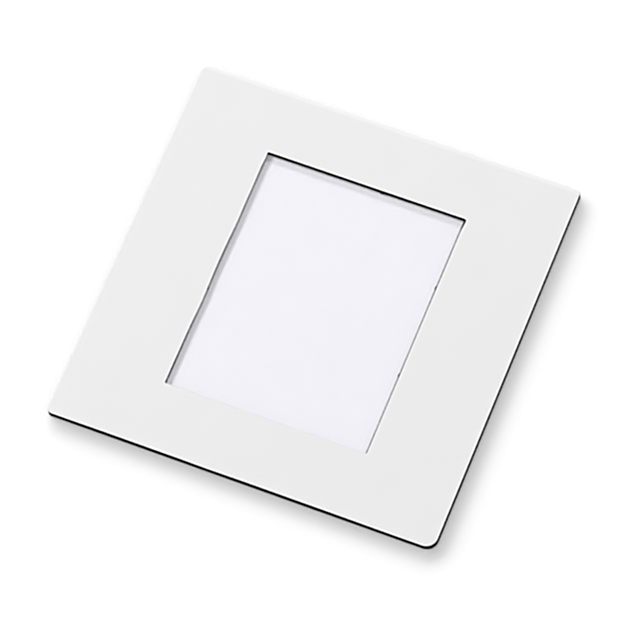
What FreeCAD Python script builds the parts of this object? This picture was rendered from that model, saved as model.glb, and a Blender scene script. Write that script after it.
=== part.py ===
"""Magnetic photo frame: a flat laminated square with a window, lying on its magnetic back.

Millimetres. +Z points out of the face, +Y towards the edge where the card slides out, and the origin is the
centre of the back. From the back up: magnet sheet, card pocket with its spacers, clear window sheet held by
tape, black board, white face film.
"""

import FreeCAD, Part
import os

import Sketcher

os.makedirs("parts", exist_ok=True)
doc = FreeCAD.newDocument("magnetic_photo_frame")

# Driving dimensions
SIZES = [
    ("window_width", 52.0, "window along X"),
    ("window_length", 66.0, "window along Y"),
    ("window_radius", 0.3, "corner radius of the window"),
    ("border_side", 24.0, "from the window to the outer edge, along X"),
    ("border_end", 17.0, "from the window to the outer edge, along Y"),
    ("radius_top_left", 2.4, "outer corner radius at -X +Y"),
    ("radius_top_right", 1.0, "outer corner radius at +X +Y"),
    ("radius_bottom_right", 2.9, "outer corner radius at +X -Y"),
    ("radius_bottom_left", 1.5, "outer corner radius at -X -Y"),
    ("film_thickness", 0.15, "white face film"),
    ("core_thickness", 1.05, "black board"),
    ("magnet_thickness", 0.3, "flexible magnet sheet"),
    ("card_lap_side", 5.75, "card past the window at each side, which makes it 63.5 wide, a wallet print"),
    ("card_lap_top", 14.0, "card past the window's upper edge"),
    ("card_lap_bottom", 8.9, "card past the window's lower edge, which makes it 88.9 long"),
    ("card_thickness", 0.22, "card"),
    ("card_side_gap", 0.4, "free room at each side of the card"),
    ("card_floor_gap", 0.1, "free room below the card"),
    ("card_slack", 0.08, "free room between the card and the clear sheet"),
    ("sheet_thickness", 0.12, "clear window sheet"),
    ("tape_thickness", 0.08, "double-sided tape"),
    ("tape_width", 3.6, "width of a tape strip"),
    ("tape_setback", 0.8, "from the window's edge to the tape"),
    ("tape_margin", 0.6, "from the tape to the edge of the clear sheet"),
    ("notch_radius", 9.0, "thumb notch in the magnet sheet"),
    ("nub_radius", 0.7, "radius of the nubs left on the window's edge"),
    ("nub_reach", 0.25, "how far a nub stands into the window"),
]

sheet = doc.addObject("Spreadsheet::Sheet", "Sizes")
sheet.Label = "Sizes"
for row, (alias, value, note) in enumerate(SIZES, start=1):
    sheet.set(f"A{row}", note)
    sheet.set(f"B{row}", str(value))
    sheet.setAlias(f"B{row}", alias)
doc.recompute()


def linked(text):
    """The same sum written for an expression: each size's name becomes a reference to the sheet."""
    names = {alias for alias, value, note in SIZES}
    return " ".join(f"Sizes.{word}" if word in names else word for word in text.split())


# The frame is its window and borders, and the card is the window and its laps
FRAME_WIDTH = "( window_width + 2 * border_side )"
FRAME_LENGTH = "( window_length + 2 * border_end )"
CARD_WIDTH = "( window_width + 2 * card_lap_side )"
CARD_LENGTH = "( window_length + card_lap_top + card_lap_bottom )"
SHEET_LAP = "( tape_setback + tape_width + tape_margin )"

# Heights of the layers
POCKET_HEIGHT = "( card_thickness + card_slack + sheet_thickness + tape_thickness )"
SHEET_BASE = "( magnet_thickness + card_thickness + card_slack )"
TAPE_BASE = f"( {SHEET_BASE} + sheet_thickness )"
CORE_BASE = f"( magnet_thickness + {POCKET_HEIGHT} )"
FILM_BASE = f"( {CORE_BASE} + core_thickness )"

# The spacers fill what the card leaves of the borders, and the tapes run round the window
SIDE_WIDTH = "( border_side - card_lap_side - card_side_gap )"
FLOOR_WIDTH = "( border_end - card_lap_bottom - card_floor_gap )"
SIDE_LENGTH = f"( {FRAME_LENGTH} - {FLOOR_WIDTH} )"
TAPE_OUTER_WIDTH = "( window_width + 2 * tape_setback + 2 * tape_width )"
TAPE_OUTER_LENGTH = "( window_length + 2 * tape_setback + 2 * tape_width )"

# Where the nubs sit along the window's edges, as shares of half the window's side
NUB_TOP_SHARE = 0.16
NUB_RIGHT_SHARES = (0.42, -0.34)
NUB_LEFT_SHARE = -0.18

parts = []


def origin_plane(body, role):
    """One of the body's own origin planes."""
    return next(feature for feature in body.Origin.OriginFeatures if feature.Role == role)


def new_sketch(body, name):
    """An empty sketch on the body's own XY plane."""
    sketch = body.newObject("Sketcher::SketchObject", name)
    sketch.AttachmentSupport = (origin_plane(body, "XY_Plane"), [""])
    sketch.MapMode = "FlatFace"
    return sketch


def bind(sketch, constraint, text):
    """Adds a constraint and ties its value to the sheet."""
    index = sketch.addConstraint(constraint)
    sketch.setExpression(f"Constraints[{index}]", linked(text))


def centred_rectangle(body, name, width, length):
    """A rectangle about the body's origin, with its two sides tied to the sheet."""
    sketch = new_sketch(body, name)
    corners = [(-1, -1), (1, -1), (1, 1), (-1, 1)]
    points = [FreeCAD.Vector(x, y, 0) for x, y in corners]
    for first, second in zip(points, points[1:] + points[:1]):
        sketch.addGeometry(Part.LineSegment(first, second), False)
    for side in range(4):
        sketch.addConstraint(Sketcher.Constraint("Coincident", side, 2, (side + 1) % 4, 1))
    for side in (0, 2):
        sketch.addConstraint(Sketcher.Constraint("Horizontal", side))
    for side in (1, 3):
        sketch.addConstraint(Sketcher.Constraint("Vertical", side))
    sketch.addConstraint(Sketcher.Constraint("Symmetric", 0, 1, 2, 1, -1, 1))
    bind(sketch, Sketcher.Constraint("DistanceX", 0, 1, 0, 2, 2.0), width)
    bind(sketch, Sketcher.Constraint("DistanceY", 1, 1, 1, 2, 2.0), length)
    return sketch


def pad(body, name, sketch, thickness):
    """A plate upwards from the sketch."""
    feature = body.newObject("PartDesign::Pad", name)
    feature.Profile = sketch
    feature.setExpression("Length", linked(thickness))
    sketch.Visibility = False
    body.Tip = feature
    doc.recompute()
    return feature


def cut_through(body, name, sketch):
    """A cut through the whole plate, upwards from the sketch. It has to take something away."""
    before = body.Shape.Volume
    feature = body.newObject("PartDesign::Pocket", name)
    feature.Profile = sketch
    feature.Type = "ThroughAll"
    feature.Reversed = True
    sketch.Visibility = False
    body.Tip = feature
    doc.recompute()
    if not body.Shape.Volume < before:
        raise RuntimeError(f"{name} takes nothing away")
    return feature


def plate(label, width, length, thickness, place):
    """A body that starts as a rectangular plate, centred on its own origin and placed by three sums."""
    body = doc.addObject("PartDesign::Body", label)
    body.Label = label
    for axis, text in zip("xyz", place):
        body.setExpression(f"Placement.Base.{axis}", linked(text))
    pad(body, f"{label}_plate", centred_rectangle(body, f"{label}_outline", width, length), thickness)
    parts.append(body)
    return body


def upright_edges(shape):
    """The edges that run along Z, by number, with the place of each."""
    found = []
    for number, edge in enumerate(shape.Edges, start=1):
        low, high = edge.Vertexes[0].Point, edge.Vertexes[-1].Point
        if abs(low.x - high.x) + abs(low.y - high.y) < Part.Precision.confusion() < abs(low.z - high.z):
            found.append((number, low.x, low.y))
    return found


def soften(body, name, numbers, radius):
    """A fillet on the numbered edges of the body as it is so far."""
    base = body.Tip
    feature = body.newObject("PartDesign::Fillet", name)
    feature.Base = (base, [f"Edge{number}" for number in numbers])
    feature.setExpression("Radius", linked(radius))
    body.Tip = feature
    doc.recompute()


def round_corner(body, name, side_x, side_y, radius, inner=False):
    """Rounds the upright corner that lies furthest towards one side, or the window's own corner there."""
    edges = upright_edges(body.Shape)
    edges = [edge for edge in edges if edge[1] * side_x > 0 and edge[2] * side_y > 0]
    choose = min if inner else max
    number = choose(edges, key=lambda edge: edge[1] * side_x + edge[2] * side_y)[0]
    soften(body, name, [number], radius)


def round_outline(body, corners):
    """Rounds the named outer corners to the frame's outline."""
    for key, (side_x, side_y) in corners.items():
        round_corner(body, f"{body.Label}_{key}", side_x, side_y, f"radius_{key}")


CORNERS = {
    "top_left": (-1, 1),
    "top_right": (1, 1),
    "bottom_right": (1, -1),
    "bottom_left": (-1, -1),
}


def cut_window(body):
    """The die-cut window, with its four small corner radii."""
    outline = centred_rectangle(body, f"{body.Label}_window_outline", "window_width", "window_length")
    cut_through(body, f"{body.Label}_window", outline)
    for key, (side_x, side_y) in CORNERS.items():
        round_corner(body, f"{body.Label}_window_{key}", side_x, side_y, "window_radius", inner=True)


def add_nubs(body, thickness):
    """Nubs where the waste of the window was held: small discs that stand a little into the window."""
    sketch = new_sketch(body, f"{body.Label}_nub_outline")
    edge_x = "( window_width / 2 + nub_radius - nub_reach )"
    edge_y = "( window_length / 2 + nub_radius - nub_reach )"
    places = [(f"{NUB_TOP_SHARE} * window_width / 2", edge_y)]
    places += [(edge_x, f"{share} * window_length / 2") for share in NUB_RIGHT_SHARES]
    places += [(f"-1 * {edge_x}", f"{NUB_LEFT_SHARE} * window_length / 2")]
    up = FreeCAD.Vector(0, 0, 1)
    for place_x, place_y in places:
        circle = sketch.addGeometry(Part.Circle(FreeCAD.Vector(1, 1, 0), up, 1.0), False)
        bind(sketch, Sketcher.Constraint("DistanceX", -1, 1, circle, 3, 1.0), place_x)
        bind(sketch, Sketcher.Constraint("DistanceY", -1, 1, circle, 3, 1.0), place_y)
        bind(sketch, Sketcher.Constraint("Radius", circle, 1.0), "nub_radius")
    pad(body, f"{body.Label}_nubs", sketch, thickness)


# Magnet sheet: the whole back, with a half-round thumb notch at the top edge
magnet = plate("magnet_sheet", FRAME_WIDTH, FRAME_LENGTH, "magnet_thickness", ("0", "0", "0"))
round_outline(magnet, CORNERS)
notch = new_sketch(magnet, "magnet_sheet_notch_outline")
notch.addGeometry(Part.Circle(FreeCAD.Vector(0, 1, 0), FreeCAD.Vector(0, 0, 1), 1.0), False)
notch.addConstraint(Sketcher.Constraint("PointOnObject", 0, 3, -2))
bind(notch, Sketcher.Constraint("DistanceY", -1, 1, 0, 3, 1.0), f"{FRAME_LENGTH} / 2")
bind(notch, Sketcher.Constraint("Radius", 0, 1.0), "notch_radius")
cut_through(magnet, "magnet_sheet_notch", notch)

# Spacer strips: black, adhesive on both faces, they close the pocket at the lower end and at both sides
side_y = f"{FLOOR_WIDTH} / 2"
for label, sign, key in (("spacer_left", -1, "top_left"), ("spacer_right", 1, "top_right")):
    side_x = f"{sign} * ( {FRAME_WIDTH} / 2 - {SIDE_WIDTH} / 2 )"
    strip = plate(label, SIDE_WIDTH, SIDE_LENGTH, POCKET_HEIGHT, (side_x, side_y, "magnet_thickness"))
    round_outline(strip, {key: CORNERS[key]})
floor_y = f"{FLOOR_WIDTH} / 2 - {FRAME_LENGTH} / 2"
floor_place = ("0", floor_y, "magnet_thickness")
floor_strip = plate("spacer_bottom", FRAME_WIDTH, FLOOR_WIDTH, POCKET_HEIGHT, floor_place)
round_outline(floor_strip, {key: CORNERS[key] for key in ("bottom_right", "bottom_left")})

# Photo card: a loose white card that lies on the magnet sheet inside the pocket
card_y = "( card_lap_top - card_lap_bottom ) / 2"
plate("photo_card", CARD_WIDTH, CARD_LENGTH, "card_thickness", ("0", card_y, "magnet_thickness"))

# Clear window sheet, larger than the window all round
sheet_width = f"window_width + 2 * {SHEET_LAP}"
sheet_length = f"window_length + 2 * {SHEET_LAP}"
plate("window_sheet", sheet_width, sheet_length, "sheet_thickness", ("0", "0", SHEET_BASE))

# Tape strips: they hold the clear sheet to the back of the board, a little back from the window's edge
for label, sign in (("window_tape_top", 1), ("window_tape_bottom", -1)):
    tape_y = f"{sign} * ( {TAPE_OUTER_LENGTH} / 2 - tape_width / 2 )"
    plate(label, TAPE_OUTER_WIDTH, "tape_width", "tape_thickness", ("0", tape_y, TAPE_BASE))
side_tape_length = f"{TAPE_OUTER_LENGTH} - 2 * tape_width"
for label, sign in (("window_tape_left", -1), ("window_tape_right", 1)):
    tape_x = f"{sign} * ( {TAPE_OUTER_WIDTH} / 2 - tape_width / 2 )"
    plate(label, "tape_width", side_tape_length, "tape_thickness", (tape_x, "0", TAPE_BASE))

# Black board: it carries the window
core = plate("core_board", FRAME_WIDTH, FRAME_LENGTH, "core_thickness", ("0", "0", CORE_BASE))
cut_window(core)
round_outline(core, CORNERS)
add_nubs(core, "core_thickness")

# White face film, cut in the same stroke as the board
film = plate("face_film", FRAME_WIDTH, FRAME_LENGTH, "film_thickness", ("0", "0", FILM_BASE))
cut_window(film)
round_outline(film, CORNERS)

# Checks, then one file per piece
doc.recompute()
for thing in doc.Objects:
    if "Invalid" in thing.State or "Error" in thing.State:
        raise RuntimeError(f"{thing.Label} did not recompute: {thing.State}")
for body in parts:
    shape = body.Shape
    if shape.isNull() or not shape.isValid() or len(shape.Solids) != 1:
        raise RuntimeError(f"{body.Label} is not one valid solid")
for body in parts:
    body.Shape.exportStep(os.path.join("parts", f"{body.Label}.step"))
    box = body.Shape.BoundBox
    size = f"{box.XLength:.2f} x {box.YLength:.2f} x {box.ZLength:.2f}"
    print(f"{body.Label}: {size} at z {box.ZMin:.2f}, volume {body.Shape.Volume:.1f}")
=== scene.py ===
import math

import bmesh
import bpy
from mathutils import Matrix, Vector, noise


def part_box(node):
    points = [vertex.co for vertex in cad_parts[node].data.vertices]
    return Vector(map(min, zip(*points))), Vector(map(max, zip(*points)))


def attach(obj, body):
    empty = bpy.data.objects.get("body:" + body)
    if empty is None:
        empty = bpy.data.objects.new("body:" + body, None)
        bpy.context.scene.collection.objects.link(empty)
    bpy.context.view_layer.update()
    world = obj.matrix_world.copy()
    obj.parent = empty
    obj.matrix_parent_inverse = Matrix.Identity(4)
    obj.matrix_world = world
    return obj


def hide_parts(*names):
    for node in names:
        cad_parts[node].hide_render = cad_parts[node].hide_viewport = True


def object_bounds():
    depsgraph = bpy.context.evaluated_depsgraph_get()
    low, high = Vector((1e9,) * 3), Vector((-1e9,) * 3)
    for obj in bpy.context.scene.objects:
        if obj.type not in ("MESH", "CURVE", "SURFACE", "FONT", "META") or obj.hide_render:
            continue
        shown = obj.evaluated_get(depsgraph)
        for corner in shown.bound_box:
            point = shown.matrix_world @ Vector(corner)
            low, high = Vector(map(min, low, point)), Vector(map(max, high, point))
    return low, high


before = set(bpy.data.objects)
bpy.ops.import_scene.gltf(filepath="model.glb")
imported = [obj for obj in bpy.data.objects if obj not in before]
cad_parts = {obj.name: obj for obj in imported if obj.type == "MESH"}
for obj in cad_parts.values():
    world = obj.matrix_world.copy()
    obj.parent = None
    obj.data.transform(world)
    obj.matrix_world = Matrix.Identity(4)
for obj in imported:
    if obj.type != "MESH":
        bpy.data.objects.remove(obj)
cad_low, cad_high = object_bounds()


# Camera
# A long lens looks down at the face from the near right, turned a little on its axis. The picture is square.
MM = 0.001
CAMERA_AIM = Vector((2.90, -4.49, 2.0)) * MM
CAMERA_DISTANCE = 1.01463
CAMERA_AZIMUTH = math.radians(27.355)
CAMERA_ELEVATION = math.radians(66.017)
CAMERA_ROLL = math.radians(-6.12)
CAMERA_LENS = 236.0
CAMERA_SENSOR = 36.0
CAMERA_NEAR_LIMIT = 0.01

camera_data = bpy.data.cameras.new("camera")
camera_data.lens = CAMERA_LENS
camera_data.sensor_width = CAMERA_SENSOR
camera_data.clip_start = CAMERA_NEAR_LIMIT
camera = bpy.data.objects.new("camera", camera_data)
bpy.context.scene.collection.objects.link(camera)
camera.matrix_world = (
    Matrix.Translation(CAMERA_AIM)
    @ Matrix.Rotation(CAMERA_AZIMUTH, 4, "Z")
    @ Matrix.Rotation(math.pi / 2 - CAMERA_ELEVATION, 4, "X")
    @ Matrix.Rotation(CAMERA_ROLL, 4, "Z")
    @ Matrix.Translation((0, 0, CAMERA_DISTANCE))
)
bpy.context.scene.camera = camera


# Magnet sheet
# A flexible sheet of ferrite-filled rubber, dull dark brown, cut to the frame's outline. A half-round notch
# in its upper edge bares the end of the card for a thumb. The strips of the pocket are glued to its front.
CORNER_RADII = {(-1, 1): 2.4 * MM, (1, 1): 1.0 * MM, (1, -1): 2.9 * MM, (-1, -1): 1.5 * MM}
CORNER_SEGMENTS = 12
NOTCH_RADIUS = 9.0 * MM
NOTCH_SEGMENTS = 40
MERGE_DISTANCE = 0.001 * MM
MAGNET_STEP = 1.5 * MM
MAGNET_RIM = 0.03 * MM
MAGNET_CUT_DEPTH = 0.015 * MM
MAGNET_CUT_GRAIN = 0.9 * MM
MAGNET_BROWN = (0.035, 0.029, 0.026, 1)
MAGNET_DUSTY = (0.085, 0.074, 0.066, 1)
MAGNET_GRAINS = 3500.0
MAGNET_RUB_REACH = 5.0 * MM
MAGNET_RELIEF = 0.006 * MM
POLE_SPACING = 2.1 * MM
# The length in metres of one wave of Blender's wave texture at a scale of 1
TEXTURE_WAVE = 0.314
# A face is flat where its normal is this upright. A rim lies between faces whose tilts differ by this much.
FLAT_TILT = 0.999
RIM_TURN = 0.7
RIM_SEGMENTS = 2
# How coarse a surface's clouds and specks are beside its grain, and how fine the patches of wear are
CLOUD_SHARE = 0.045
SPECK_SHARE = 0.4
RUB_PATCHES = 420.0


def rounded_outline(bm, low, high, radii):
    """A flat rectangle between two corners, at the lower one's height. Each corner has its own radius."""
    corners = bmesh.ops.create_grid(bm, x_segments=1, y_segments=1, size=0.5)["verts"]
    middle = (low + high) / 2
    bmesh.ops.scale(bm, vec=(high.x - low.x, high.y - low.y, 1), verts=corners)
    bmesh.ops.translate(bm, vec=(middle.x, middle.y, low.z), verts=corners)
    for corner in corners:
        side = (1 if corner.co.x > middle.x else -1, 1 if corner.co.y > middle.y else -1)
        bmesh.ops.bevel(bm, geom=[corner], offset=radii[side], offset_type="OFFSET",
                        segments=CORNER_SEGMENTS, profile=0.5, affect="VERTICES", material=-1)
    bmesh.ops.delete(bm, geom=bm.faces[:], context="FACES_ONLY")


def divide_straights(bm, edges, step):
    """Cuts each long edge into stretches of about one step."""
    for edge in edges:
        cuts = int(edge.calc_length() / step)
        if cuts:
            bmesh.ops.subdivide_edges(bm, edges=[edge], cuts=cuts)


def raise_plate(bm, thickness, wall_cuts=0):
    """Fills the flat outline, holes left open, and raises it to a plate whose walls have level cuts."""
    bmesh.ops.triangle_fill(bm, use_beauty=True, use_dissolve=False, edges=bm.edges[:])
    raised = bmesh.ops.extrude_face_region(bm, geom=bm.faces[:])["geom"]
    raised = [item for item in raised if isinstance(item, bmesh.types.BMVert)]
    bmesh.ops.translate(bm, vec=(0, 0, thickness), verts=raised)
    bmesh.ops.recalc_face_normals(bm, faces=bm.faces[:])
    if wall_cuts:
        uprights = [edge for edge in bm.edges
                    if abs(edge.verts[0].co.z - edge.verts[1].co.z) > thickness / 2]
        bmesh.ops.subdivide_edges(bm, edges=uprights, cuts=wall_cuts, use_grid_fill=True)


def roughen_walls(bm, depth, grain):
    """Sinks the upright walls by up to a depth, unevenly, as a blade leaves them."""
    bm.normal_update()
    for vert in bm.verts:
        outward = Vector((vert.normal.x, vert.normal.y, 0)).normalized()
        vert.co -= outward * depth * (0.5 + 0.5 * noise.noise(vert.co / grain))


def soften_rims(bm, radius):
    """Rounds the edges between the flat faces and the walls."""
    bm.normal_update()
    rims = [edge for edge in bm.edges
            if abs(abs(edge.link_faces[0].normal.z) - abs(edge.link_faces[1].normal.z)) > RIM_TURN]
    bmesh.ops.bevel(bm, geom=rims, offset=radius, offset_type="OFFSET", segments=RIM_SEGMENTS, profile=0.5,
                    affect="EDGES", material=-1, clamp_overlap=True)


def finished_piece(name, bm, materials):
    """A mesh object at the origin. Flat faces stay flat, and walls and rims are shaded smooth."""
    bm.normal_update()
    for face in bm.faces:
        face.smooth = abs(face.normal.z) < FLAT_TILT
    mesh = bpy.data.meshes.new(name)
    bm.to_mesh(mesh)
    bm.free()
    for material in materials:
        mesh.materials.append(material)
    piece = bpy.data.objects.new(name, mesh)
    bpy.context.scene.collection.objects.link(piece)
    return piece


def add_node(tree, kind, sockets=None, **settings):
    """A node in a tree. An input given as a socket is linked, and one given as a value is set."""
    node = tree.nodes.new(kind)
    for name, value in settings.items():
        setattr(node, name, value)
    for key, value in (sockets or {}).items():
        if isinstance(value, bpy.types.NodeSocket):
            tree.links.new(value, node.inputs[key])
        else:
            node.inputs[key].default_value = value
    return node


def calculate(tree, operation, first, second=0.0):
    """The result of one sum on two values or sockets."""
    return add_node(tree, "ShaderNodeMath", {0: first, 1: second}, operation=operation).outputs[0]


def between(tree, value, low, high, to_low=0.0, to_high=1.0):
    """A value rescaled from one range to another and held inside it."""
    sockets = {"Value": value, "From Min": low, "From Max": high, "To Min": to_low, "To Max": to_high}
    return add_node(tree, "ShaderNodeMapRange", sockets).outputs["Result"]


def mixed(tree, mask, first, second):
    """A colour between two others, by a mask."""
    return add_node(tree, "ShaderNodeMix", {0: mask, 6: first, 7: second}, data_type="RGBA").outputs[2]


def new_group(name, inputs, outputs):
    """A shader node group with float or vector inputs and float outputs."""
    tree = bpy.data.node_groups.new(name, "ShaderNodeTree")
    for label, kind in inputs:
        tree.interface.new_socket(label, in_out="INPUT", socket_type=kind)
    for label in outputs:
        tree.interface.new_socket(label, in_out="OUTPUT", socket_type="NodeSocketFloat")
    return tree, tree.nodes.new("NodeGroupInput").outputs, tree.nodes.new("NodeGroupOutput").inputs


def grain_group():
    """Fine grain, broad cloudiness and sparse specks, for every surface that isn't perfectly even."""
    tree, given, result = new_group(
        "surface_grain",
        [("Vector", "NodeSocketVector"), ("Grains per metre", "NodeSocketFloat")],
        ["Fine", "Broad", "Specks"],
    )
    fine = add_node(tree, "ShaderNodeTexNoise", {"Vector": given[0], "Scale": given[1], "Detail": 5.0})
    slow = calculate(tree, "MULTIPLY", given[1], CLOUD_SHARE)
    broad = add_node(tree, "ShaderNodeTexNoise", {"Vector": given[0], "Scale": slow, "Detail": 3.0})
    sparse = calculate(tree, "MULTIPLY", given[1], SPECK_SHARE)
    specks = add_node(tree, "ShaderNodeTexNoise", {"Vector": given[0], "Scale": sparse, "Detail": 1.0})
    tree.links.new(between(tree, fine.outputs["Fac"], 0.3, 0.7), result[0])
    tree.links.new(between(tree, broad.outputs["Fac"], 0.32, 0.68), result[1])
    tree.links.new(between(tree, specks.outputs["Fac"], 0.70, 0.76), result[2])
    return tree


def rub_group():
    """Handling wear: a mask that grows towards the frame's outer edges and corners, broken up by noise."""
    tree, given, result = new_group(
        "edge_rub",
        [("Vector", "NodeSocketVector"), ("Half side", "NodeSocketFloat"), ("Reach", "NodeSocketFloat")],
        ["Rub"],
    )
    parts = add_node(tree, "ShaderNodeSeparateXYZ", {0: given[0]}).outputs
    across = calculate(tree, "ABSOLUTE", parts[0])
    along = calculate(tree, "ABSOLUTE", parts[1])
    start = calculate(tree, "SUBTRACT", given[1], given[2])
    near_side = calculate(tree, "DIVIDE", calculate(tree, "SUBTRACT", across, start), given[2])
    near_end = calculate(tree, "DIVIDE", calculate(tree, "SUBTRACT", along, start), given[2])
    nearest = between(tree, calculate(tree, "MAXIMUM", near_side, near_end), 0.0, 1.0)
    patches = add_node(tree, "ShaderNodeTexNoise", {"Vector": given[0], "Scale": RUB_PATCHES, "Detail": 6.0})
    broken = between(tree, patches.outputs["Fac"], 0.38, 0.66)
    tree.links.new(calculate(tree, "MULTIPLY", calculate(tree, "POWER", nearest, 2.0), broken), result[0])
    return tree


SURFACE_GRAIN = grain_group()
EDGE_RUB = rub_group()
HALF_SIDE = cad_high.x


def new_material(name, **plain):
    """A material with one Principled shader whose even values are set on its own sockets."""
    material = bpy.data.materials.new(name)
    material.use_nodes = True
    tree = material.node_tree
    shader = tree.nodes["Principled BSDF"]
    for label, value in plain.items():
        shader.inputs[label.replace("_", " ")].default_value = value
    place = add_node(tree, "ShaderNodeTexCoord").outputs["Object"]
    return material, tree, shader, place


def use_group(tree, group, sockets):
    """One of the shared groups, placed in a material."""
    return add_node(tree, "ShaderNodeGroup", sockets, node_tree=group).outputs


def add_bump(tree, shader, height, distance):
    """Relief of a real depth on the shader's normal."""
    bump = add_node(tree, "ShaderNodeBump", {"Height": height, "Distance": distance})
    tree.links.new(bump.outputs["Normal"], shader.inputs["Normal"])


def magnet_material():
    """Calendered ferrite rubber: brown-black, with faint lines across it and pale dust in its grain."""
    material, tree, shader, place = new_material("magnet_rubber")
    grain = use_group(tree, SURFACE_GRAIN, {"Vector": place, "Grains per metre": MAGNET_GRAINS})
    rub = use_group(tree, EDGE_RUB, {"Vector": place, "Half side": HALF_SIDE, "Reach": MAGNET_RUB_REACH})
    lines = add_node(
        tree, "ShaderNodeTexWave",
        {"Vector": place, "Scale": TEXTURE_WAVE / POLE_SPACING, "Distortion": 0.4, "Detail": 2.0},
        bands_direction="Y",
    )
    line = between(tree, lines.outputs["Fac"], 0.2, 0.8)
    dust = calculate(tree, "MULTIPLY", grain["Specks"], 0.5)
    dust = calculate(tree, "ADD", dust, calculate(tree, "MULTIPLY", rub["Rub"], 0.7))
    dust = calculate(tree, "ADD", dust, calculate(tree, "MULTIPLY", grain["Fine"], 0.18))
    dust = calculate(tree, "ADD", dust, calculate(tree, "MULTIPLY", line, 0.08))
    tree.links.new(mixed(tree, dust, MAGNET_BROWN, MAGNET_DUSTY), shader.inputs["Base Color"])
    tree.links.new(between(tree, grain["Broad"], 0, 1, 0.5, 0.68), shader.inputs["Roughness"])
    relief = calculate(tree, "ADD", grain["Fine"], calculate(tree, "MULTIPLY", line, 0.6))
    add_bump(tree, shader, relief, MAGNET_RELIEF)
    return material


low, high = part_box("magnet_sheet")
bm = bmesh.new()
rounded_outline(bm, low, high, CORNER_RADII)
upper_edge = max(bm.edges, key=lambda edge: edge.calc_length() + sum(vert.co.y for vert in edge.verts))
parted = bmesh.ops.subdivide_edges(bm, edges=[upper_edge], cuts=2)["geom_inner"]
notch_ends = [item for item in parted if isinstance(item, bmesh.types.BMVert)]
notch_left, notch_right = sorted(notch_ends, key=lambda vert: vert.co.x)
notch_left.co.x = -NOTCH_RADIUS
notch_right.co.x = NOTCH_RADIUS
bridge = next(edge for edge in notch_left.link_edges if edge.other_vert(notch_left) is notch_right)
bmesh.ops.delete(bm, geom=[bridge], context="EDGES")
arc_start = bm.verts.new(notch_left.co)
bmesh.ops.spin(bm, geom=[arc_start], cent=(0, high.y, low.z), axis=(0, 0, 1), dvec=(0, 0, 0), angle=math.pi,
               steps=NOTCH_SEGMENTS, use_merge=False, use_duplicate=False)
bmesh.ops.remove_doubles(bm, verts=bm.verts[:], dist=MERGE_DISTANCE)
divide_straights(bm, bm.edges[:], MAGNET_STEP)
raise_plate(bm, high.z - low.z, wall_cuts=1)
roughen_walls(bm, MAGNET_CUT_DEPTH, MAGNET_CUT_GRAIN)
soften_rims(bm, MAGNET_RIM)
magnet_sheet = finished_piece("magnet_backing", bm, [magnet_material()])
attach(magnet_sheet, "frame")
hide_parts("magnet_sheet")


# Pocket strips
# Three strips of solid black card with adhesive on both faces. They leave a pocket for the card, open at the
# upper edge, and their outer edges are cut together with the board above them.
STRIP_STEP = 1.2 * MM
STRIP_RIM = 0.03 * MM
STRIP_CUT_DEPTH = 0.02 * MM
STRIP_CUT_GRAIN = 0.7 * MM
STRIP_INNER_RADIUS = 0.2 * MM
STRIP_BLACK = (0.028, 0.028, 0.029, 1)
STRIP_FIBRE = (0.09, 0.09, 0.092, 1)
STRIP_PLY = 0.16 * MM
STRIP_RELIEF = 0.012 * MM
BLACK_BOARD_GRAINS = 5200.0
BLACK_BOARD_RUB_REACH = 3.0 * MM
PLY_WAVES = 700.0
PLY_FIBRES = 2600.0
# The corners of the frame's outline that each strip has. Its other corners are cut nearly square.
STRIP_CORNERS = {
    "spacer_left": [(-1, 1)],
    "spacer_right": [(1, 1)],
    "spacer_bottom": [(1, -1), (-1, -1)],
}


def ply_group():
    """Level lines in a cut edge, where the plies of a board meet, wavy and broken."""
    tree, given, result = new_group(
        "ply_lines",
        [("Vector", "NodeSocketVector"), ("Ply", "NodeSocketFloat")],
        ["Lines", "Fibres"],
    )
    parts = add_node(tree, "ShaderNodeSeparateXYZ", {0: given[0]}).outputs
    waver = add_node(tree, "ShaderNodeTexNoise", {"Vector": given[0], "Scale": PLY_WAVES, "Detail": 4.0})
    shift = calculate(tree, "MULTIPLY", waver.outputs["Fac"], 0.9)
    layer = calculate(tree, "ADD", calculate(tree, "DIVIDE", parts[2], given[1]), shift)
    saw = calculate(tree, "FRACT", layer)
    ridge = calculate(tree, "ABSOLUTE", calculate(tree, "SUBTRACT", saw, 0.5))
    tree.links.new(between(tree, ridge, 0.36, 0.5), result[0])
    flat = add_node(tree, "ShaderNodeMapping", {"Vector": given[0], "Scale": (1.0, 1.0, 9.0)}).outputs[0]
    fibres = add_node(tree, "ShaderNodeTexNoise",
                      {"Vector": flat, "Scale": PLY_FIBRES, "Detail": 7.0, "Roughness": 0.7})
    tree.links.new(between(tree, fibres.outputs["Fac"], 0.42, 0.7), result[1])
    return tree


PLY_LINES = ply_group()


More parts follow.
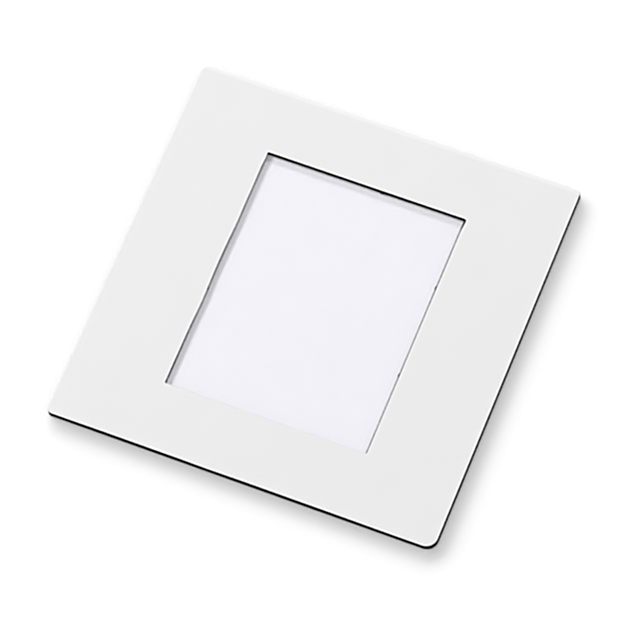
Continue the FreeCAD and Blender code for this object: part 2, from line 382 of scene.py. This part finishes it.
def black_board_material(name, dark, fibre, ply, relief_depth):
    """Black board: near black through and through, with grey fibres and faint plies where it is cut."""
    material, tree, shader, place = new_material(name, Specular_IOR_Level=0.1)
    grain = use_group(tree, SURFACE_GRAIN, {"Vector": place, "Grains per metre": BLACK_BOARD_GRAINS})
    plies = use_group(tree, PLY_LINES, {"Vector": place, "Ply": ply})
    rub = use_group(tree, EDGE_RUB, {
        "Vector": place, "Half side": HALF_SIDE, "Reach": BLACK_BOARD_RUB_REACH})
    pale = calculate(tree, "MULTIPLY", plies["Fibres"], 0.35)
    pale = calculate(tree, "ADD", pale, calculate(tree, "MULTIPLY", grain["Specks"], 0.5))
    pale = calculate(tree, "ADD", pale, calculate(tree, "MULTIPLY", rub["Rub"], 0.15))
    pale = calculate(tree, "MULTIPLY", pale, between(tree, plies["Lines"], 0, 1, 1.0, 0.4))
    tree.links.new(mixed(tree, pale, dark, fibre), shader.inputs["Base Color"])
    tree.links.new(between(tree, grain["Fine"], 0, 1, 0.82, 0.98), shader.inputs["Roughness"])
    relief = calculate(tree, "SUBTRACT", plies["Fibres"], calculate(tree, "MULTIPLY", plies["Lines"], 0.8))
    add_bump(tree, shader, relief, relief_depth)
    return material


strip_card = black_board_material("strip_card", STRIP_BLACK, STRIP_FIBRE, STRIP_PLY, STRIP_RELIEF)
for node, outer_corners in STRIP_CORNERS.items():
    low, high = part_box(node)
    radii = {side: STRIP_INNER_RADIUS for side in CORNER_RADII}
    radii.update({side: CORNER_RADII[side] for side in outer_corners})
    bm = bmesh.new()
    rounded_outline(bm, low, high, radii)
    divide_straights(bm, bm.edges[:], STRIP_STEP)
    raise_plate(bm, high.z - low.z, wall_cuts=2)
    roughen_walls(bm, STRIP_CUT_DEPTH, STRIP_CUT_GRAIN)
    soften_rims(bm, STRIP_RIM)
    strip = finished_piece(node.replace("spacer", "pocket_strip"), bm, [strip_card])
    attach(strip, "frame")
    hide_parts(node)


# Photo card
# The loose insert: matt white card with a cool tint, cut to the wallet size. It lies in the pocket, on the
# magnet sheet, and slides out at the upper edge.
CARD_RADIUS = 0.35 * MM
CARD_STEP = 2.0 * MM
CARD_RIM = 0.03 * MM
CARD_CUT_DEPTH = 0.01 * MM
CARD_CUT_GRAIN = 1.1 * MM
CARD_WHITE = (0.804, 0.794, 0.844, 1)
CARD_SHADE = (0.792, 0.782, 0.833, 1)
CARD_FIBRE = (0.823, 0.814, 0.859, 1)
CARD_GRAINS = 4200.0
CARD_FIBRES = 5200.0
CARD_RELIEF = 0.0025 * MM


def card_material():
    """Matt card: an even cool white with pulp clouds, a few fibres and a very fine tooth."""
    material, tree, shader, place = new_material("card_stock", Specular_IOR_Level=0.2)
    grain = use_group(tree, SURFACE_GRAIN, {"Vector": place, "Grains per metre": CARD_GRAINS})
    turned = add_node(tree, "ShaderNodeMapping", {"Vector": place, "Scale": (1.0, 0.12, 1.0)}).outputs[0]
    long_fibres = add_node(tree, "ShaderNodeTexNoise",
                           {"Vector": turned, "Scale": CARD_FIBRES, "Detail": 4.0, "Distortion": 1.2})
    fibres = between(tree, long_fibres.outputs["Fac"], 0.60, 0.72)
    base = mixed(tree, grain["Broad"], CARD_WHITE, CARD_SHADE)
    base = mixed(tree, calculate(tree, "MULTIPLY", fibres, 0.6), base, CARD_FIBRE)
    tree.links.new(base, shader.inputs["Base Color"])
    tree.links.new(between(tree, grain["Fine"], 0, 1, 0.68, 0.80), shader.inputs["Roughness"])
    relief = calculate(tree, "ADD", grain["Fine"], calculate(tree, "MULTIPLY", fibres, 0.8))
    add_bump(tree, shader, relief, CARD_RELIEF)
    return material


low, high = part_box("photo_card")
bm = bmesh.new()
rounded_outline(bm, low, high, {side: CARD_RADIUS for side in CORNER_RADII})
divide_straights(bm, bm.edges[:], CARD_STEP)
raise_plate(bm, high.z - low.z)
roughen_walls(bm, CARD_CUT_DEPTH, CARD_CUT_GRAIN)
soften_rims(bm, CARD_RIM)
photo_card = finished_piece("insert_card", bm, [card_material()])
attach(photo_card, "card")
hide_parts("photo_card")


# Clear window sheet
# A thin sheet of clear polyester behind the window keeps fingers off the card. Tape holds it to the board's
# back.
SHEET_RADIUS = 0.8 * MM
SHEET_RIM = 0.02 * MM
SHEET_CLEAR = (0.995, 0.995, 0.995, 1)
SHEET_SPECK = (0.989, 0.989, 0.989, 1)
SHEET_LET_THROUGH = (0.997, 0.997, 0.997, 1)
SHEET_GRAINS = 900.0
SHEET_RELIEF = 0.004 * MM


def clear_sheet_material():
    """Clear film: it lets lamps through unbent, and its gloss has faint rolling marks."""
    material, tree, shader, place = new_material(
        "clear_polyester", Transmission_Weight=1.0, IOR=1.5, Roughness=0.015)
    grain = use_group(tree, SURFACE_GRAIN, {"Vector": place, "Grains per metre": SHEET_GRAINS})
    tree.links.new(mixed(tree, grain["Specks"], SHEET_CLEAR, SHEET_SPECK), shader.inputs["Base Color"])
    add_bump(tree, shader, grain["Broad"], SHEET_RELIEF)
    clear = add_node(tree, "ShaderNodeBsdfTransparent", {"Color": SHEET_LET_THROUGH})
    rays = add_node(tree, "ShaderNodeLightPath").outputs
    unbent = calculate(tree, "MAXIMUM", rays["Is Shadow Ray"], rays["Is Diffuse Ray"])
    either = add_node(tree, "ShaderNodeMixShader", {
        "Fac": unbent, 1: shader.outputs["BSDF"], 2: clear.outputs["BSDF"]})
    tree.links.new(either.outputs["Shader"], tree.nodes["Material Output"].inputs["Surface"])
    return material


low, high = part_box("window_sheet")
bm = bmesh.new()
rounded_outline(bm, low, high, {side: SHEET_RADIUS for side in CORNER_RADII})
raise_plate(bm, high.z - low.z)
soften_rims(bm, SHEET_RIM)
window_sheet = finished_piece("clear_window", bm, [clear_sheet_material()])
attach(window_sheet, "frame")
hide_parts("window_sheet")


# Tape strips
# Thin double-sided tissue tape round the window, between the clear sheet and the board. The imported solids
# have its true shape, so they only get its finish: milky, with tissue fibres in the adhesive.
TAPE_MILK = (0.70, 0.69, 0.64, 1)
TAPE_TISSUE = (0.84, 0.83, 0.80, 1)
TAPE_ALPHA = 0.6
TAPE_GRAINS = 2400.0
TAPE_STRANDS = 3000.0
TAPE_RELIEF = 0.006 * MM


def tape_material():
    """Tissue tape: pale fibres in a milky adhesive."""
    material, tree, shader, place = new_material("tissue_tape", Alpha=TAPE_ALPHA)
    grain = use_group(tree, SURFACE_GRAIN, {"Vector": place, "Grains per metre": TAPE_GRAINS})
    stretched = add_node(tree, "ShaderNodeMapping", {"Vector": place, "Scale": (1.0, 0.2, 1.0)}).outputs[0]
    strands = add_node(tree, "ShaderNodeTexNoise",
                       {"Vector": stretched, "Scale": TAPE_STRANDS, "Detail": 6.0, "Distortion": 2.0})
    tissue = between(tree, strands.outputs["Fac"], 0.45, 0.62)
    tree.links.new(mixed(tree, tissue, TAPE_MILK, TAPE_TISSUE), shader.inputs["Base Color"])
    tree.links.new(between(tree, grain["Fine"], 0, 1, 0.3, 0.5), shader.inputs["Roughness"])
    add_bump(tree, shader, tissue, TAPE_RELIEF)
    return material


tissue_tape = tape_material()
for side in ("top", "bottom", "left", "right"):
    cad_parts[f"window_tape_{side}"].material_slots[0].material = tissue_tape


# Board ring
# Solid board, black right through, die-cut in one stroke with its film. Four small ties held the window's
# waste. They tore when it was pushed out, and left nubs, and the walls swelled a little in places.
WINDOW_HALF = Vector((26.0, 33.0, 0)) * MM
WINDOW_RADIUS = 0.3 * MM
WINDOW_STEP = 0.22 * MM
OUTER_STEP = 1.0 * MM
BOARD_RIM = 0.025 * MM
BOARD_CUT_DEPTH = 0.03 * MM
BOARD_CUT_GRAIN = 0.8 * MM
BOARD_BLACK = (0.044, 0.044, 0.045, 1)
BOARD_FIBRE = (0.12, 0.12, 0.123, 1)
BOARD_PLY = 0.26 * MM
BOARD_RELIEF = 0.02 * MM
# Each torn tie: how wide it is, how far it stands out, how much of that is even and how much ragged, how
# coarse the tear is, and what share the upper one keeps at the top of its wall
NUB_WIDTH = 0.42 * MM
NUB_REACH = 0.30 * MM
NUB_EVEN = 0.65
NUB_RAGGED = 0.7
NUB_GRAIN = 0.16 * MM
NUB_TOP_SHARE = 0.35
# Where along each wall its ties were
TOP_NUBS = [4.15 * MM]
RIGHT_NUBS = [13.3 * MM, -11.2 * MM]
LEFT_NUBS = [-5.95 * MM]
# The left wall's foot lies back from its top edge, because the blade leaned a little
LEFT_LEAN = 0.10 * MM
# Each swelling of a wall's foot: where along the edge, how wide, how far it stands out
LEFT_SWELLINGS = [(-27.0 * MM, 6.0 * MM, 0.11 * MM)]
TOP_SWELLINGS = [(4.5 * MM, 1.5 * MM, 0.10 * MM), (9.5 * MM, 3.5 * MM, 0.08 * MM)]


def bump_at(place, centre, width, height):
    """A smooth hump along an edge."""
    return height * math.exp(-(((place - centre) / width) ** 2))


def into_window(point):
    """The direction into the window from a point on its edge, turning evenly round corners. Else zero."""
    across = (abs(point.x) - WINDOW_HALF.x) / WINDOW_RADIUS + 1
    along = (abs(point.y) - WINDOW_HALF.y) / WINDOW_RADIUS + 1
    if max(across, along) > 2:
        return Vector((0, 0, 0))
    across, along = (min(max(share, 0), 1) for share in (across, along))
    return Vector((-math.copysign(across, point.x), -math.copysign(along, point.y), 0))


def ring_outline(bm, low, high):
    """The frame's outline with the window in it, ready to be filled."""
    rounded_outline(bm, low, high, CORNER_RADII)
    divide_straights(bm, bm.edges[:], OUTER_STEP)
    outer = set(bm.edges)
    window_low = Vector((-WINDOW_HALF.x, -WINDOW_HALF.y, low.z))
    window_high = Vector((WINDOW_HALF.x, WINDOW_HALF.y, high.z))
    rounded_outline(bm, window_low, window_high, {side: WINDOW_RADIUS for side in CORNER_RADII})
    divide_straights(bm, [edge for edge in bm.edges if edge not in outer], WINDOW_STEP)


def torn_ties(point, along, places):
    """How far the torn ties of one wall stand out at a point, given its place along that wall."""
    torn = NUB_EVEN + NUB_RAGGED * noise.noise(point / NUB_GRAIN)
    return torn * sum(bump_at(along, centre, NUB_WIDTH, NUB_REACH) for centre in places)


low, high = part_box("core_board")
bm = bmesh.new()
ring_outline(bm, low, high)
raise_plate(bm, high.z - low.z, wall_cuts=4)
roughen_walls(bm, BOARD_CUT_DEPTH, BOARD_CUT_GRAIN)
for vert in bm.verts:
    inward = into_window(vert.co)
    lowered = (high.z - vert.co.z) / (high.z - low.z)
    reach = Vector((0, 0, 0))
    if inward.x > 0:
        swollen = sum(bump_at(vert.co.y, *swelling) for swelling in LEFT_SWELLINGS)
        reach.x = torn_ties(vert.co, vert.co.y, LEFT_NUBS) + lowered * (swollen - LEFT_LEAN)
    elif inward.x < 0:
        reach.x = torn_ties(vert.co, vert.co.y, RIGHT_NUBS)
    if inward.y < 0:
        reach.y = torn_ties(vert.co, vert.co.x, TOP_NUBS) * (NUB_TOP_SHARE + (1 - NUB_TOP_SHARE) * lowered)
        reach.y += lowered * sum(bump_at(vert.co.x, *swelling) for swelling in TOP_SWELLINGS)
    vert.co += inward * reach
soften_rims(bm, BOARD_RIM)
board = black_board_material("black_board", BOARD_BLACK, BOARD_FIBRE, BOARD_PLY, BOARD_RELIEF)
board_ring = finished_piece("board_ring", bm, [board])
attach(board_ring, "frame")
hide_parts("core_board")


# Face film
# White self-adhesive film over the board's front, half matt, with a faint orange peel. The blade pulled it
# back from most cut edges, so a hair of black board shows past it. It stands over the window's left wall.
FILM_RIM = 0.05 * MM
FILM_CUT_DEPTH = 0.015 * MM
FILM_CUT_GRAIN = 1.4 * MM
FILM_WINDOW_SETBACKS = {"right": 0.195 * MM, "top": 0.06 * MM, "bottom": 0.01 * MM}
FILM_OUTER_SETBACKS = {"right": 0.10 * MM, "bottom": 0.06 * MM}
FILM_WHITE = (0.709, 0.709, 0.709, 1)
FILM_SHADE = (0.701, 0.701, 0.700, 1)
FILM_RUBBED = (0.729, 0.729, 0.729, 1)
# The cut edge is whitened by the blade and painted paler still, as a highlight along the rim
FILM_CUT_WHITENING_AND_HIGHLIGHT = (0.86, 0.86, 0.86, 1)
FILM_GRAINS = 1500.0
FILM_RUB_REACH = 4.0 * MM
FILM_RELIEF = 0.003 * MM
FILM_CUT_GRAINS = 6000.0
FILM_CUT_RELIEF = 0.004 * MM
# Painted highlight: the film's colour turns softly paler towards its left and top edges, over these widths
FILM_EDGE_HIGHLIGHT = (0.775, 0.775, 0.775, 1)
EDGE_HIGHLIGHT_WIDTHS = {"left": 0.6 * MM, "top": 1.4 * MM}
# Where the film stands further over the left wall: place along the edge, half width, overhang
LEFT_OVERHANGS = [(-9.5 * MM, 5.5 * MM, 0.18 * MM), (13.0 * MM, 5.0 * MM, 0.17 * MM),
                  (23.0 * MM, 6.0 * MM, 0.12 * MM), (31.5 * MM, 2.0 * MM, 0.14 * MM)]
# Where the film is chipped further back from the right wall, most of all at its upper end, in the same way
RIGHT_CHIPS = [(32.4 * MM, 1.9 * MM, 0.28 * MM), (20.0 * MM, 9.0 * MM, 0.02 * MM)]
# Where the film was left on nearly up to the frame's near edge: place along the edge, half width, how much
BOTTOM_OVERHANGS = [(-47.0 * MM, 9.0 * MM, 0.06 * MM), (-8.0 * MM, 5.0 * MM, 0.06 * MM),
                    (40.0 * MM, 13.0 * MM, 0.055 * MM)]
# How much the right edge's set-back grows from its middle to its near end, and shrinks to its far end
FILM_TURN = 0.03 * MM


def film_material():
    """White film: an even light grey-white with a faint peel, paler where it was rubbed, and with a painted
    highlight towards its left and top edges.
    """
    material, tree, shader, place = new_material("white_film", Specular_IOR_Level=0.3)
    grain = use_group(tree, SURFACE_GRAIN, {"Vector": place, "Grains per metre": FILM_GRAINS})
    rub = use_group(tree, EDGE_RUB, {"Vector": place, "Half side": HALF_SIDE, "Reach": FILM_RUB_REACH})
    base = mixed(tree, grain["Broad"], FILM_WHITE, FILM_SHADE)
    base = mixed(tree, rub["Rub"], base, FILM_RUBBED)
    parts = add_node(tree, "ShaderNodeSeparateXYZ", {0: place}).outputs
    # Painted highlight: paler towards the left and top edges
    left_highlight = between(tree, parts[0], -HALF_SIDE + EDGE_HIGHLIGHT_WIDTHS["left"], -HALF_SIDE)
    top_highlight = between(tree, parts[1], HALF_SIDE - EDGE_HIGHLIGHT_WIDTHS["top"], HALF_SIDE)
    base = mixed(tree, calculate(tree, "MAXIMUM", left_highlight, top_highlight), base, FILM_EDGE_HIGHLIGHT)
    tree.links.new(base, shader.inputs["Base Color"])
    worn = calculate(tree, "SUBTRACT", between(tree, grain["Fine"], 0, 1, 0.50, 0.60),
                     calculate(tree, "MULTIPLY", rub["Rub"], 0.08))
    tree.links.new(worn, shader.inputs["Roughness"])
    add_bump(tree, shader, grain["Fine"], FILM_RELIEF)
    return material


def film_cut_material():
    """The film's cut edge: stretched and whitened by the blade, and painted paler still as a highlight along
    the rim; matt.
    """
    material, tree, shader, place = new_material("film_cut_edge", Specular_IOR_Level=0.3)
    grain = use_group(tree, SURFACE_GRAIN, {"Vector": place, "Grains per metre": FILM_CUT_GRAINS})
    tree.links.new(mixed(tree, grain["Broad"], FILM_CUT_WHITENING_AND_HIGHLIGHT, FILM_RUBBED), shader.inputs["Base Color"])
    tree.links.new(between(tree, grain["Fine"], 0, 1, 0.55, 0.75), shader.inputs["Roughness"])
    add_bump(tree, shader, grain["Fine"], FILM_CUT_RELIEF)
    return material


low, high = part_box("face_film")
bm = bmesh.new()
ring_outline(bm, low, high)
raise_plate(bm, high.z - low.z)
roughen_walls(bm, FILM_CUT_DEPTH, FILM_CUT_GRAIN)
for vert in bm.verts:
    inward = into_window(vert.co)
    reach = Vector((0, 0, 0))
    if inward.x > 0:
        reach.x = sum(bump_at(vert.co.y, *hump) for hump in LEFT_OVERHANGS)
    elif inward.x < 0:
        reach.x = -FILM_WINDOW_SETBACKS["right"] - sum(bump_at(vert.co.y, *chip) for chip in RIGHT_CHIPS)
    if inward.y:
        reach.y = -FILM_WINDOW_SETBACKS["top" if inward.y < 0 else "bottom"]
    if inward.length:
        vert.co += inward * reach
        continue
    left_on = sum(bump_at(vert.co.x, *hump) for hump in BOTTOM_OVERHANGS)
    right_setback = FILM_OUTER_SETBACKS["right"] - FILM_TURN * vert.co.y / HALF_SIDE
    vert.co.x -= right_setback * max(vert.co.x / HALF_SIDE, 0)
    vert.co.y -= (FILM_OUTER_SETBACKS["bottom"] - left_on) * min(vert.co.y / HALF_SIDE, 0)
soften_rims(bm, FILM_RIM)
bm.normal_update()
for face in bm.faces:
    face.material_index = 0 if abs(face.normal.z) > FLAT_TILT else 1
face_film = finished_piece("white_face", bm, [film_material(), film_cut_material()])
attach(face_film, "frame")
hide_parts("face_film")


# Floor
# A matt white table top, lit so that it is pure white wherever no shadow falls.
FLOOR_SIZE = 8.0
FLOOR_WHITE = (0.93, 0.93, 0.93, 1)

bm = bmesh.new()
bmesh.ops.create_grid(bm, x_segments=1, y_segments=1, size=FLOOR_SIZE / 2)
table_white = new_material("table_white", Base_Color=FLOOR_WHITE, Roughness=1.0, Specular_IOR_Level=0.0)[0]
floor = finished_piece("floor", bm, [table_white])


# Light
# In a white room, a soft light overhead, one from the left and a weak one from behind shape the object. The
# table has a light overhead, a low bank from behind round to the left for the soft shadow on the near sides,
# and a weak pair in front and on the right for the faint shadow on the far sides.
ROOM_STRENGTH = 0.30
OVERHEAD = {"strength": 0.90, "size": 40.0, "elevation": 79.0, "azimuth": 0.0}
TABLE_OVERHEAD = {"strength": 0.90, "size": 40.0, "elevation": 87.0, "azimuth": 150.0}
TABLE_LIGHT = {"size": 28.0, "elevation": 19.0}
TABLE_BANK = {"table_light_back": (103.0, 1.04), "table_light_far": (127.0, 1.38),
              "table_light_left": (151.0, 1.38), "table_light_near": (176.0, 0.93)}
FAINT_LIGHT = {"size": 45.0, "elevation": 24.0, "strength": 0.19}
FAINT_PAIR = {"faint_light_near": 268.0, "faint_light_right": 358.0}
LEFT_LIGHT = {"power": 48.2, "size": 0.98, "distance": 2.8, "elevation": 43.0, "azimuth": 168.0}
BACK_LIGHT = {"power": 25.5, "size": 0.64, "distance": 2.8, "elevation": 36.0, "azimuth": 95.0}


def aimed_light(name, data, elevation, azimuth, distance=1.0):
    """A light that shines at the origin from a direction, its azimuth counted from +X towards +Y."""
    lamp = bpy.data.objects.new(name, data)
    bpy.context.scene.collection.objects.link(lamp)
    lamp.matrix_world = (
        Matrix.Rotation(math.radians(azimuth), 4, "Z")
        @ Matrix.Rotation(math.radians(90 - elevation), 4, "Y")
        @ Matrix.Translation((0, 0, distance))
    )
    return lamp


def sky_light(name, values):
    """An even light from a disc of sky, the same everywhere on the table."""
    data = bpy.data.lights.new(name, "SUN")
    data.energy = values["strength"]
    data.angle = math.radians(values["size"])
    return aimed_light(name, data, values["elevation"], values["azimuth"])


def softbox(name, values):
    """A round softbox at a distance."""
    data = bpy.data.lights.new(name, "AREA")
    data.shape = "DISK"
    data.size = values["size"]
    data.energy = values["power"]
    return aimed_light(name, data, values["elevation"], values["azimuth"], values["distance"])


only_the_table = bpy.data.collections.new("only_the_table")
only_the_table.objects.link(floor)
all_but_the_table = bpy.data.collections.new("all_but_the_table")
all_but_the_table.objects.link(floor)
all_but_the_table.collection_objects[0].light_linking.link_state = "EXCLUDE"

overhead = sky_light("overhead_light", OVERHEAD)
overhead.light_linking.receiver_collection = all_but_the_table
# Without this the clear sheet glares white when the frame is seen from straight above
overhead.visible_glossy = False
sky_light("table_light_overhead", TABLE_OVERHEAD).light_linking.receiver_collection = only_the_table
for name, (azimuth, strength) in TABLE_BANK.items():
    lamp = sky_light(name, {**TABLE_LIGHT, "azimuth": azimuth, "strength": strength})
    lamp.light_linking.receiver_collection = only_the_table
for name, azimuth in FAINT_PAIR.items():
    lamp = sky_light(name, {**FAINT_LIGHT, "azimuth": azimuth})
    lamp.light_linking.receiver_collection = only_the_table
softbox("left_light", LEFT_LIGHT).light_linking.receiver_collection = all_but_the_table
softbox("back_light", BACK_LIGHT).light_linking.receiver_collection = all_but_the_table

world = bpy.data.worlds.new("white_room")
world.use_nodes = True
bpy.context.scene.world = world
room = world.node_tree.nodes["Background"]
room.inputs["Color"].default_value = (1, 1, 1, 1)
seen = add_node(world.node_tree, "ShaderNodeLightPath").outputs["Is Camera Ray"]
world.node_tree.links.new(between(world.node_tree, seen, 0, 1, ROOM_STRENGTH, 1.0), room.inputs["Strength"])
bpy.context.scene.view_settings.view_transform = "Standard"


# Darkroom
# A lens softens a picture a little, and the photograph was then sharpened, which leaves a thin bright line
# beside each black edge. This picture is treated the same way, on its display tones, as photo editors do it.
LENS_SOFTNESS = 1.0
SHARPENING = 0.36
DISPLAY_GAMMA = 2.2

bpy.context.scene.use_nodes = True
darkroom = bpy.context.scene.node_tree
darkroom.nodes.clear()


def develop(kind, picture, setting, value, **settings):
    """One step of the darkroom, with its one value."""
    step = darkroom.nodes.new(kind)
    for name, choice in settings.items():
        setattr(step, name, choice)
    step.inputs[setting].default_value = value
    darkroom.links.new(picture, step.inputs["Image"])
    return step.outputs["Image"]


picture = darkroom.nodes.new("CompositorNodeRLayers").outputs["Image"]
picture = develop("CompositorNodeGamma", picture, "Gamma", 1 / DISPLAY_GAMMA)
picture = develop("CompositorNodeFilter", picture, "Fac", LENS_SOFTNESS, filter_type="SOFTEN")
picture = develop("CompositorNodeFilter", picture, "Fac", SHARPENING, filter_type="SHARPEN")
picture = develop("CompositorNodeGamma", picture, "Gamma", DISPLAY_GAMMA)
darkroom.links.new(picture, darkroom.nodes.new("CompositorNodeComposite").inputs["Image"])
